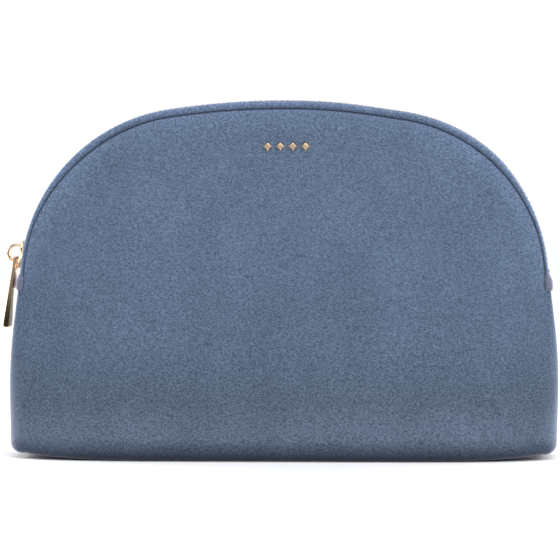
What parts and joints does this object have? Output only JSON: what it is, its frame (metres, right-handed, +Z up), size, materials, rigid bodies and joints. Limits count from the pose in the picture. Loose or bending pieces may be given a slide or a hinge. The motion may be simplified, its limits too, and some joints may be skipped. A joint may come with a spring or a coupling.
{
  "type": "zippered pouch",
  "caption": "Half-moon velvet cosmetics pouch that stands on its base, with a metal zip over the arch, a hanging pull and small metal studs on the front.",
  "frame": {"origin": "middle of the base, on the surface the pouch stands on", "axes": "+X along the width to the right seen from the front, -Y out of the front, +Z up"},
  "size_m": [0.25, 0.074, 0.1604],
  "materials": {
    "velvet": "dusty blue velvet with a soft nap",
    "foam": "off-white felted foam interlining",
    "lining": "plain woven satin lining",
    "tape": "woven zip tape",
    "zip_metal": "antique pale brass",
    "gold_metal": "polished light gold plating"
  },
  "bodies": {
    "tub": {"velvet_front_tub": "velvet", "velvet_back_tub": "velvet", "foam_front_tub": "foam", "foam_back_tub": "foam", "lining_front_tub": "lining", "lining_back_tub": "lining", "tape_front_left": "tape", "teeth_front_left": "zip_metal", "tape_front_right": "tape", "teeth_front_right": "zip_metal", "tape_back_left": "tape", "teeth_back_left": "zip_metal", "tape_back_right": "tape", "teeth_back_right": "zip_metal", "zip_stop_front": "zip_metal", "zip_stop_back": "zip_metal", "zip_stop_bottom": "zip_metal", "zip_end_tab_left": "velvet", "zip_end_tab_right": "velvet"},
    "front_flap": {"velvet_front_flap": "velvet", "foam_front_flap": "foam", "lining_front_flap": "lining", "tape_front_flap": "tape", "teeth_front_flap": "zip_metal", "badge_stud_1": "gold_metal", "badge_stud_2": "gold_metal", "badge_stud_3": "gold_metal", "badge_stud_4": "gold_metal", "badge_backing": "foam"},
    "back_flap": {"velvet_back_flap": "velvet", "foam_back_flap": "foam", "lining_back_flap": "lining", "tape_back_flap": "tape", "teeth_back_flap": "zip_metal"},
    "slider": {"slider_body": "gold_metal", "slider_bail": "gold_metal"},
    "pull": {"pull_tab": "gold_metal"}
  },
  "joints": [
    {"name": "front_open", "type": "hinge", "parent": "tub", "child": "front_flap", "pos_m": [0, -0.021, 0.1], "axis": [1, 0, 0], "range_deg": [0, 60]},
    {"name": "back_open", "type": "hinge", "parent": "tub", "child": "back_flap", "pos_m": [0, 0.021, 0.1], "axis": [-1, 0, 0], "range_deg": [0, 60]},
    {"name": "slider_travel", "type": "hinge", "parent": "tub", "child": "slider", "pos_m": [-0.04017, 0, 0.07844], "axis": [0, -1, 0], "range_deg": [-67, 0]},
    {"name": "pull_swing", "type": "hinge", "parent": "slider", "child": "pull", "pos_m": [-0.12129, 0, 0.08905], "axis": [0, 1, 0], "range_deg": [0, 95]}
  ]
}
